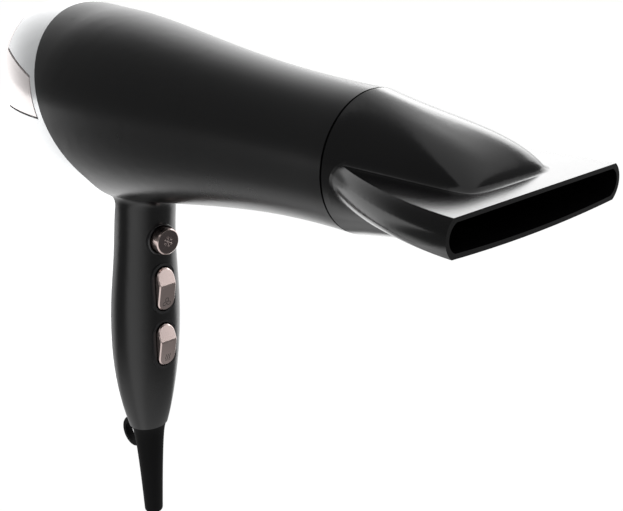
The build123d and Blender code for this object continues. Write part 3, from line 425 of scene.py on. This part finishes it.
def button_metal(colours):
    """Rose metal, with a painted dark reflection on the face inside a bright rim."""
    material = worked_metal("Button metal", colours.rose, 0.2, ALONG_Z, lines=5000, depth=2)
    tree = material.node_tree
    shader = next(node for node in tree.nodes if node.type == "BSDF_PRINCIPLED")
    low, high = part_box("cool_button")
    collar_low, collar_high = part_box("cool_button_collar")
    middle = Vector((high.x, (low.y + high.y) / 2, (low.z + high.z) / 2))
    rim = (collar_high.z - collar_low.z) / 2 - BUTTON_RIM * MM
    place = add_node(tree, "ShaderNodeTexCoord")
    edge = (rim - BUTTON_RIM_BLUR * MM, rim)
    # mask of the button's face, where the dark reflection is painted
    face = falloff(tree, place.outputs["Object"], "DISTANCE", middle, edge, (1, 0))
    rose = shader.inputs["Base Color"].links[0].from_socket
    # painted reflection: the face takes a dark colour in place of the mirrored dark front
    rose_with_painted_reflection = blend(tree, "RGBA", rose, (*colours.painted_face_reflection, 1.0), face)
    tree.links.new(rose_with_painted_reflection, shader.inputs["Base Color"])
    return material


def relief_rubber(colours):
    return moulded(
        "Relief rubber", colours.rubber, 0.6, grain=3000, depth=12, drift=0.1,
        **{"Specular IOR Level": 0.08},
    )


def trim_black(colours):
    return moulded("Trim black", (0.014, 0.014, 0.015), 0.32, grain=2600, depth=6)


def grille_black(colours):
    return moulded("Grille black", (0.02, 0.02, 0.021), 0.45, grain=2200, depth=10)


def duct_grey(colours):
    return moulded("Duct grey", (0.07, 0.07, 0.072), 0.5, grain=1800, depth=10)


def fan_grey(colours):
    return moulded("Fan grey", (0.05, 0.05, 0.055), 0.38, grain=2000, depth=6)


def switch_plastic(colours):
    return moulded("Switch plastic", (0.045, 0.045, 0.045), 0.42, grain=2400, depth=8)


def board_lacquer(colours):
    return moulded("Board lacquer", (0.02, 0.13, 0.05), 0.3, grain=1500, depth=6, drift=0.15, spread=0.25)


def mica_sheet(colours):
    return moulded("Mica sheet", (0.62, 0.53, 0.38), 0.45, grain=600, depth=30, drift=0.3, spread=0.3)


def heater_wire(colours):
    tone = (0.36, 0.32, 0.29)
    return worked_metal("Heater wire", tone, 0.38, EVEN, lines=1500, depth=10, spread=0.3)


def drawn_steel(colours):
    return worked_metal("Drawn steel", (0.55, 0.55, 0.56), 0.3, (0.04, 1.0, 1.0), lines=3500, depth=4)


def laminated_core(colours):
    tone = (0.30, 0.30, 0.31)
    return worked_metal("Laminated core", tone, 0.45, (1.0, 0.02, 0.02), lines=2200, depth=30)


def blackened_steel(colours):
    return worked_metal("Blackened steel", (0.16, 0.16, 0.165), 0.34, EVEN, lines=3000, depth=5)


def sieve_steel(colours):
    return worked_metal("Sieve steel", (0.42, 0.42, 0.43), 0.35, (1.0, 1.0, 0.1), lines=2600, depth=10)


def copper_wire(colours):
    return worked_metal("Copper wire", (0.70, 0.30, 0.14), 0.3, (0.02, 1.0, 1.0), lines=3200, depth=30)


def bearing_bronze(colours):
    return worked_metal("Bearing bronze", (0.52, 0.36, 0.17), 0.42, EVEN, lines=4000, depth=8)


def magnet_ferrite(colours):
    tone = (0.05, 0.05, 0.052)
    return moulded("Magnet ferrite", tone, 0.6, grain=2800, depth=20, drift=0.15, spread=0.3)


def symbol_ink(colours):
    return moulded("Symbol ink", colours.symbol, 0.5, grain=4000, depth=3)


# every maker takes the dryer's colours, so that one call suits them all
MATERIAL_MAKERS = {
    "shell_black": front_shell_black,
    "nozzle_black": nozzle_black,
    "shell_silver": silver_lacquer,
    "ear_silver": rose_silver_lacquer,
    "rose_metal": rose_metal,
    "button_metal": button_metal,
    "rubber_black": relief_rubber,
    "trim_black": trim_black,
    "grille_plastic": grille_black,
    "duct_plastic": duct_grey,
    "fan_plastic": fan_grey,
    "switch_plastic": switch_plastic,
    "board_green": board_lacquer,
    "mica": mica_sheet,
    "heater_wire": heater_wire,
    "motor_steel": drawn_steel,
    "core_steel": laminated_core,
    "screw_steel": blackened_steel,
    "mesh_steel": sieve_steel,
    "copper": copper_wire,
    "bronze": bearing_bronze,
    "magnet": magnet_ferrite,
    "symbol": symbol_ink,
}

# nodes whose finish differs from the one that their slot names
OWN_FINISH = {
    "filter_cover": "ear_silver",
    "cool_button": "button_metal",
    "cool_button_collar": "trim_black",
    "speed_bezel": "trim_black",
    "heat_bezel": "trim_black",
}

made_materials = {}


def finish(name):
    """The material of a finish, made the first time it is asked for."""
    if name not in made_materials:
        made_materials[name] = MATERIAL_MAKERS[name](bpy.context.scene.dryer_colours)
    return made_materials[name]


# ---- operators ---------------------------------------------------------------------------


class DRYER_OT_finishes(bpy.types.Operator):
    """Give every solid of the dryer its finish"""

    bl_idname = "dryer.finishes"
    bl_label = "Finish the solids"

    def execute(self, context):
        slots = {part["node"]: part["material_slot"] for part in frame["record"]["subparts"]}
        for node, solid in frame["nodes"].items():
            wear(solid, finish(OWN_FINISH.get(node, slots[node])))
        return {"FINISHED"}


def coil(name, start, reach, radius, wire, turns, height):
    """A helix of round wire along X, closed at both ends."""
    start_clean()
    pitch = (reach - 2 * wire) / turns
    bpy.ops.mesh.primitive_circle_add(vertices=WIRE_SIDES, radius=wire, fill_type="NGON",
                                      location=(start + wire, 0, height))
    piece = bpy.context.object
    for vertex in piece.data.vertices:
        flat = vertex.co.copy()
        vertex.co = (flat.x, radius + flat.y, 0)
    apply_modifier(piece, "SCREW", axis="X", angle=tau, screw_offset=pitch, iterations=turns,
                   steps=TURN_STEPS, render_steps=TURN_STEPS, use_merge_vertices=False)
    select_only(piece)
    bpy.ops.object.mode_set(mode="EDIT")
    bpy.ops.mesh.select_all(action="SELECT")
    bpy.ops.mesh.remove_doubles(threshold=WELD)
    bpy.ops.mesh.fill_holes(sides=0)
    bpy.ops.mesh.normals_make_consistent(inside=False)
    bpy.ops.object.mode_set(mode="OBJECT")
    bpy.ops.object.shade_smooth()
    return settle(piece, name)


class DRYER_OT_heater_wire(bpy.types.Operator):
    """Wind the two halves of resistance wire on the boards"""

    bl_idname = "dryer.heater_wire"
    bl_label = "Wind the heater wire"

    def execute(self, context):
        sizes = context.scene.dryer_sizes
        for half in ("rear", "front"):
            node = f"heater_coil_{half}"
            low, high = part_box(node)
            radius = (high.y - low.y) / 2 - sizes.heater_wire
            piece = coil(f"heater_wire_{half}", low.x, high.x - low.x, radius,
                         sizes.heater_wire, sizes.heater_turns, BARREL_HEIGHT)
            wear(piece, finish("heater_wire"))
            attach(piece, "body")
            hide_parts(node)
        return {"FINISHED"}


class DRYER_OT_button_spring(bpy.types.Operator):
    """Wind the return spring behind the cool button"""

    bl_idname = "dryer.button_spring"
    bl_label = "Wind the button spring"

    def execute(self, context):
        sizes = context.scene.dryer_sizes
        low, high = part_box("cool_button_spring")
        radius = (high.y - low.y) / 2 - sizes.spring_wire
        span = high.x - low.x
        middle = (low.z + high.z) / 2
        piece = coil("button_spring", low.x, span, radius, sizes.spring_wire, sizes.spring_turns, middle)
        wear(piece, finish("motor_steel"))
        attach(piece, "body")
        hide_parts("cool_button_spring")
        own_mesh(piece)
        return {"FINISHED"}


# ---- switch symbols ----------------------------------------------------------------------


def snowflake(reach=2.5, barb_root=1.4, barb_tip=2.2, barb=0.7):
    """Six arms with a chevron on each."""
    arm = [[(0.0, 0.0), (reach, 0.0)], [(barb_tip, barb), (barb_root, 0.0), (barb_tip, -barb)]]
    turned = []
    for sixth in range(6):
        turn = tau * sixth / 6 + tau / 12
        along, beside = cos(turn), sin(turn)
        for line in arm:
            turned.append([(x * along - y * beside, x * beside + y * along) for x, y in line])
    return turned


def fan_petals(petals=3, hub=0.25, reach=2.1, steps=14):
    """Petals round a middle, each reaching out and back as a cosine does."""
    lines = []
    for petal in range(petals):
        middle = tau * petal / petals + tau / 4
        line = []
        for step in range(steps + 1):
            turn = tau * (step / steps - 0.5) / petals
            far = hub + reach * cos(turn * petals / 2)
            line.append((far * cos(middle + turn), far * sin(middle + turn)))
        lines.append(line)
    return lines


def heat_waves(waves=3, gap=1.1, height=3.8, sway=0.28, steps=16):
    """Rising wavy lines side by side."""
    lines = []
    for wave in range(waves):
        middle = gap * (wave - (waves - 1) / 2)
        line = []
        for step in range(steps + 1):
            share = step / steps
            line.append((middle + sway * sin(1.5 * tau * share), height * (share - 0.5)))
        lines.append(line)
    return lines


def outer_facet(node, way, likeness=0.99, slack=0.05 * MM):
    """The middle and the normal of a node's outermost flat face that looks about a given way."""
    faces = [face for face in frame["nodes"][node].data.polygons if face.normal.dot(way) > likeness]
    reach = max(face.center.dot(face.normal) for face in faces)
    outer = [face for face in faces if face.center.dot(face.normal) > reach - slack]
    normal = max(outer, key=lambda face: face.area).normal.copy()
    total = sum(face.area for face in outer)
    return sum((face.center * face.area for face in outer), Vector()) / total, normal


def draw_symbol(name, lines, middle, way, sizes):
    """Raised round-backed strokes on a facet; a line's points are in mm across and up it."""
    start_clean()
    bpy.ops.curve.primitive_bezier_curve_add(radius=MM)
    piece = bpy.context.object
    strokes = piece.data
    strokes.splines.clear()
    for line in lines:
        stroke = strokes.splines.new("POLY")
        stroke.points.add(len(line) - 1)
        for point, (across, up) in zip(stroke.points, line):
            point.co = (across * MM, up * MM, 0.0, 1.0)
    strokes.bevel_depth = sizes.symbol_line / 2
    strokes.bevel_resolution = 2
    strokes.use_fill_caps = True
    select_only(piece)
    bpy.ops.object.convert(target="MESH")
    piece = bpy.context.object
    turned = Matrix((ACROSS, way.cross(ACROSS), way)).transposed().to_4x4()
    flat = Matrix.Diagonal((1.0, 1.0, 2 * sizes.symbol_height / sizes.symbol_line, 1.0))
    piece.matrix_world = Matrix.Translation(middle) @ turned @ flat
    return settle(piece, name)


class DRYER_OT_symbols(bpy.types.Operator):
    """Mark the button and the rockers with their symbols"""

    bl_idname = "dryer.symbols"
    bl_label = "Mark the switches"

    def execute(self, context):
        sizes = context.scene.dryer_sizes
        marks = (
            ("cool_button", snowflake(), (1.0, 0.0, 0.0), 0.0, "rose_metal", "rose_metal"),
            ("speed_rocker", fan_petals(), ROCKER_FACE, ROCKER_SYMBOL_DROP, "symbol", "switch_plastic"),
            ("heat_rocker", heat_waves(), ROCKER_FACE, ROCKER_SYMBOL_DROP, "symbol", "switch_plastic"),
        )
        for body, lines, way, drop, look, slot in marks:
            middle, normal = outer_facet(body, Vector(way))
            low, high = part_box(body)
            middle.y = (low.y + high.y) / 2
            up = normal.cross(ACROSS)
            middle += up * (((low.z + high.z) / 2 - drop * MM - middle.z) / up.z)
            piece = draw_symbol(f"{body}_symbol", lines, middle, normal, sizes)
            wear(piece, finish(look))
            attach(piece, body)
        return {"FINISHED"}


# ---- studio ------------------------------------------------------------------------------

CAMERA_AZIMUTH = 46.165
CAMERA_ELEVATION = 20.132
CAMERA_DISTANCE = 0.416883
CAMERA_AIM = (0.11725, 0.0, -0.044024)  # measured from the barrel's axis
FLOOR_SIZE = 12.0

# Painted reflections: brightness of the studio that only the dryer's glossy skins see, in the world and
# on the floor. Over a span, one
# brightness turns into the next: in metres on the floor, in cosines for the painted wedge's edges and the
# world's back, and in distances between directions for the painted card.
FRONT_DARK = 0.16
BACK_BRIGHT = 1.8
BACK_SPAN = (-0.8, -0.2)
PAINTED_CARD_WAY = (0.72, 0.68, 0.12)  # to a painted reflection of a pale card beside the dryer
PAINTED_CARD_BRIGHT = 3.4
PAINTED_CARD_SPAN = (0.08, 0.24)
FLOOR_BACK = 1.6
BEHIND_SPAN = (-0.12, 0.03)
BESIDE_AZIMUTH = 66.0  # the painted floor reflection brightens away from here too
BESIDE_SPAN = (-0.13, -0.05)
NEAR_MIDDLE = (0.0, -0.04)  # of the painted pool of light round the grip's foot
NEAR_BRIGHT = 0.9
NEAR_SPAN = (0.03, 0.18)
PAINTED_WEDGE_BRIGHT = 1.3
PAINTED_WEDGE_DIM = 0.1
PAINTED_WEDGE_SHARP_TURN = 45.0  # azimuths of the painted wedge of light on the floor, from the camera's
PAINTED_WEDGE_SHARP_SPAN = (-0.12, 0.22)
PAINTED_WEDGE_SLOW_TURN = -75.0
PAINTED_WEDGE_SLOW_SPAN = (-0.6, 0.6)

# Brightness for the camera and for matt skins.
FLOOR_WHITE = 1.04
FLOOR_SHARE = 0.92  # of the floor's own brightness; the rest takes light and shadow
FLOOR_TONE = (0.86, 0.86, 0.86, 1.0)
SOFT_LIGHT = 0.7

# Lamps: place from the barrel, way, size and radiance.
BACK_SOFTBOX = ((-0.125, 0.78, 0.32), (0.1, -0.78, -0.25), (0.87, 0.26), 2.6)
TOP_SOFTBOX = ((0.305, 0.005, 0.63), (0, 0, -1), (0.9, 1.65), 0.55)
TOP_TURN = 13.2


def level_way(azimuth):
    """A level direction: azimuth 0 looks along -Y, and 90 along +X."""
    return Vector((sin(radians(azimuth)), -cos(radians(azimuth)), 0.0))


def toward_camera():
    """The way from the dryer to the camera."""
    lift = radians(CAMERA_ELEVATION)
    return level_way(CAMERA_AZIMUTH) * cos(lift) + Vector((0.0, 0.0, sin(lift)))


def add_camera(settings):
    """The camera, at its distance from the point it looks at."""
    aim = Vector(CAMERA_AIM) + Vector((0, 0, BARREL_HEIGHT))
    back = toward_camera()
    start_clean()
    bpy.ops.object.camera_add(location=aim + back * CAMERA_DISTANCE)
    camera = bpy.context.object
    camera.name = "studio_camera"
    camera.rotation_euler = (-back).to_track_quat("-Z", "Y").to_euler()
    camera.data.lens = settings.focal_length
    camera.data.sensor_width = 36.0
    camera.data.clip_start = 0.01
    bpy.context.scene.camera = camera


def softbox(name, place, way, size, radiance):
    """A flat lamp at a place seen from the barrel, as bright to look at as its radiance."""
    start_clean()
    bpy.ops.object.light_add(type="AREA", location=Vector(place) + Vector((0, 0, BARREL_HEIGHT)))
    lamp = bpy.context.object
    lamp.name = name
    lamp.rotation_euler = Vector(way).to_track_quat("-Z", "Y").to_euler()
    lamp.data.shape = "RECTANGLE"
    lamp.data.size, lamp.data.size_y = size
    lamp.data.energy = radiance * pi * size[0] * size[1]
    return lamp


def pick(tree, choice, values):
    """The smallest or the largest of several sockets."""
    best = values[0]
    for value in values[1:]:
        node = add_node(tree, "ShaderNodeMath", operation=choice)
        tree.links.new(best, node.inputs[0])
        tree.links.new(value, node.inputs[1])
        best = node.outputs[0]
    return best


def ray_masks(tree):
    """1 for rays from the camera, and 1 for rays from mirrors and through glass."""
    path = add_node(tree, "ShaderNodeLightPath").outputs
    mirrored = pick(tree, "MAXIMUM", (path["Is Glossy Ray"], path["Is Transmission Ray"]))
    return path["Is Camera Ray"], mirrored


def painted_light_wedge(tree, place):
    """A painted wedge of light on the floor that spreads from the grip's foot, sharp on one side and slow
    on the other.
    """
    flat = add_node(tree, "ShaderNodeVectorMath", {1: (1.0, 1.0, 0.0)}, operation="MULTIPLY")
    level = add_node(tree, "ShaderNodeVectorMath", operation="NORMALIZE")
    tree.links.new(place, flat.inputs[0])
    tree.links.new(flat.outputs[0], level.inputs[0])
    edges = (
        (PAINTED_WEDGE_SHARP_TURN, PAINTED_WEDGE_SHARP_SPAN, FRONT_DARK),
        (PAINTED_WEDGE_SLOW_TURN, PAINTED_WEDGE_SLOW_SPAN, PAINTED_WEDGE_DIM),
    )
    return pick(tree, "MINIMUM", [
        falloff(tree, level.outputs[0], "DOT_PRODUCT", level_way(CAMERA_AZIMUTH + turn), span,
                (low, PAINTED_WEDGE_BRIGHT))
        for turn, span, low in edges
    ])


def painted_floor_reflection(tree, place, height):
    """Painted reflection: what a glossy skin sees of the floor, with painted light behind the dryer,
    round its foot and in a wedge.
    """
    edges = ((CAMERA_AZIMUTH, BEHIND_SPAN), (BESIDE_AZIMUTH, BESIDE_SPAN))
    back = pick(tree, "MINIMUM", [
        falloff(tree, place, "DOT_PRODUCT", level_way(azimuth), span, (FLOOR_BACK, FRONT_DARK))
        for azimuth, span in edges
    ])
    middle = (*NEAR_MIDDLE, height)
    near = falloff(tree, place, "DISTANCE", middle, NEAR_SPAN, (NEAR_BRIGHT, FRONT_DARK))
    return pick(tree, "MAXIMUM", (back, near, painted_light_wedge(tree, place)))


def floor_white(height):
    """White to look at, with a faint shadow of the dryer; mirrors see a painted floor reflection."""
    material = bpy.data.materials.new("Floor white")
    material.use_nodes = True
    tree = material.node_tree
    tree.nodes.clear()
    output = tree.nodes.new("ShaderNodeOutputMaterial")
    place = add_node(tree, "ShaderNodeTexCoord").outputs["Object"]
    camera, mirrored = ray_masks(tree)
    painted_floor_glow = painted_floor_reflection(tree, place, height)
    matt = add_node(tree, "ShaderNodeBsdfDiffuse", {"Color": FLOOR_TONE})
    bright = add_node(tree, "ShaderNodeEmission")
    # painted reflection: mirrors see the painted floor glow, the camera sees even white
    tree.links.new(blend(tree, "FLOAT", painted_floor_glow, FLOOR_WHITE, camera), bright.inputs["Strength"])
    share = blend(tree, "FLOAT", 0.0, FLOOR_SHARE, pick(tree, "MAXIMUM", (camera, mirrored)))
    mixed = tree.nodes.new("ShaderNodeMixShader")
    tree.links.new(share, mixed.inputs["Fac"])
    tree.links.new(matt.outputs[0], mixed.inputs[1])
    tree.links.new(bright.outputs[0], mixed.inputs[2])
    tree.links.new(mixed.outputs[0], output.inputs["Surface"])
    return material


def add_floor(settings):
    """A wide floor just below the dryer."""
    start_clean()
    height = cad_bounds[0][2] - settings.floor_gap
    bpy.ops.mesh.primitive_plane_add(size=FLOOR_SIZE, location=(0, 0, height))
    floor = settle(bpy.context.object, "studio_floor")
    wear(floor, floor_white(height))


def light_world():
    """White to look at; in mirrors only, a painted reflection: white behind the dryer, dark round the
    camera and a bright painted card.
    """
    world = bpy.data.worlds.new("Studio")
    bpy.context.scene.world = world
    world.use_nodes = True
    tree = world.node_tree
    tree.nodes.clear()
    output = tree.nodes.new("ShaderNodeOutputWorld")
    way = add_node(tree, "ShaderNodeTexCoord").outputs["Generated"]
    camera, mirrored = ray_masks(tree)
    # painted reflection: seen by glossy rays alone, bright behind the dryer and dark round the camera
    behind = falloff(tree, way, "DOT_PRODUCT", toward_camera(), BACK_SPAN, (BACK_BRIGHT, FRONT_DARK))
    painted_card = falloff(tree, way, "DISTANCE", PAINTED_CARD_WAY, PAINTED_CARD_SPAN, (PAINTED_CARD_BRIGHT, 0.0))
    soft = blend(tree, "FLOAT", SOFT_LIGHT, pick(tree, "MAXIMUM", (behind, painted_card)), mirrored)
    sky = add_node(tree, "ShaderNodeBackground", {"Color": (1.0, 1.0, 1.0, 1.0)})
    tree.links.new(blend(tree, "FLOAT", soft, 1.0, camera), sky.inputs["Strength"])
    tree.links.new(sky.outputs[0], output.inputs["Surface"])


class DRYER_OT_studio(bpy.types.Operator):
    """Add the floor, the lamps, the world and the camera"""

    bl_idname = "dryer.studio"
    bl_label = "Set the studio"

    def execute(self, context):
        settings = context.scene.dryer_studio
        add_floor(settings)
        light_world()
        softbox("back_softbox", *BACK_SOFTBOX)
        top = softbox("top_softbox", *TOP_SOFTBOX)
        top.rotation_euler.z = radians(TOP_TURN)
        add_camera(settings)
        context.scene.view_settings.view_transform = "Standard"
        return {"FINISHED"}


class DRYER_PT_dressing(bpy.types.Panel):
    """Steps and settings of the dressing"""

    bl_label = "Dryer"
    bl_space_type = "VIEW_3D"
    bl_region_type = "UI"
    bl_category = "Dryer"

    def draw(self, context):
        for step in STEPS:
            self.layout.operator(step.bl_idname)
        for settings in ("dryer_colours", "dryer_sizes", "dryer_studio"):
            group = getattr(context.scene, settings)
            for key in group.__annotations__:
                self.layout.prop(group, key)


STEPS = (
    DRYER_OT_finishes,
    DRYER_OT_heater_wire,
    DRYER_OT_button_spring,
    DRYER_OT_symbols,
    DRYER_OT_studio,
)
SETTINGS = {
    "dryer_colours": DryerColours,
    "dryer_sizes": DryerSizes,
    "dryer_studio": StudioSettings,
}


def register():
    for kind in (*SETTINGS.values(), *STEPS, DRYER_PT_dressing):
        bpy.utils.register_class(kind)
    for name, kind in SETTINGS.items():
        setattr(bpy.types.Scene, name, PointerProperty(type=kind))


def unregister():
    for name in SETTINGS:
        delattr(bpy.types.Scene, name)
    for kind in (DRYER_PT_dressing, *reversed(STEPS), *reversed(SETTINGS.values())):
        bpy.utils.unregister_class(kind)


def main():
    register()
    bpy.ops.dryer.finishes()
    bpy.ops.dryer.heater_wire()
    bpy.ops.dryer.button_spring()
    bpy.ops.dryer.symbols()
    bpy.ops.dryer.studio()


if __name__ == "__main__":
    main()
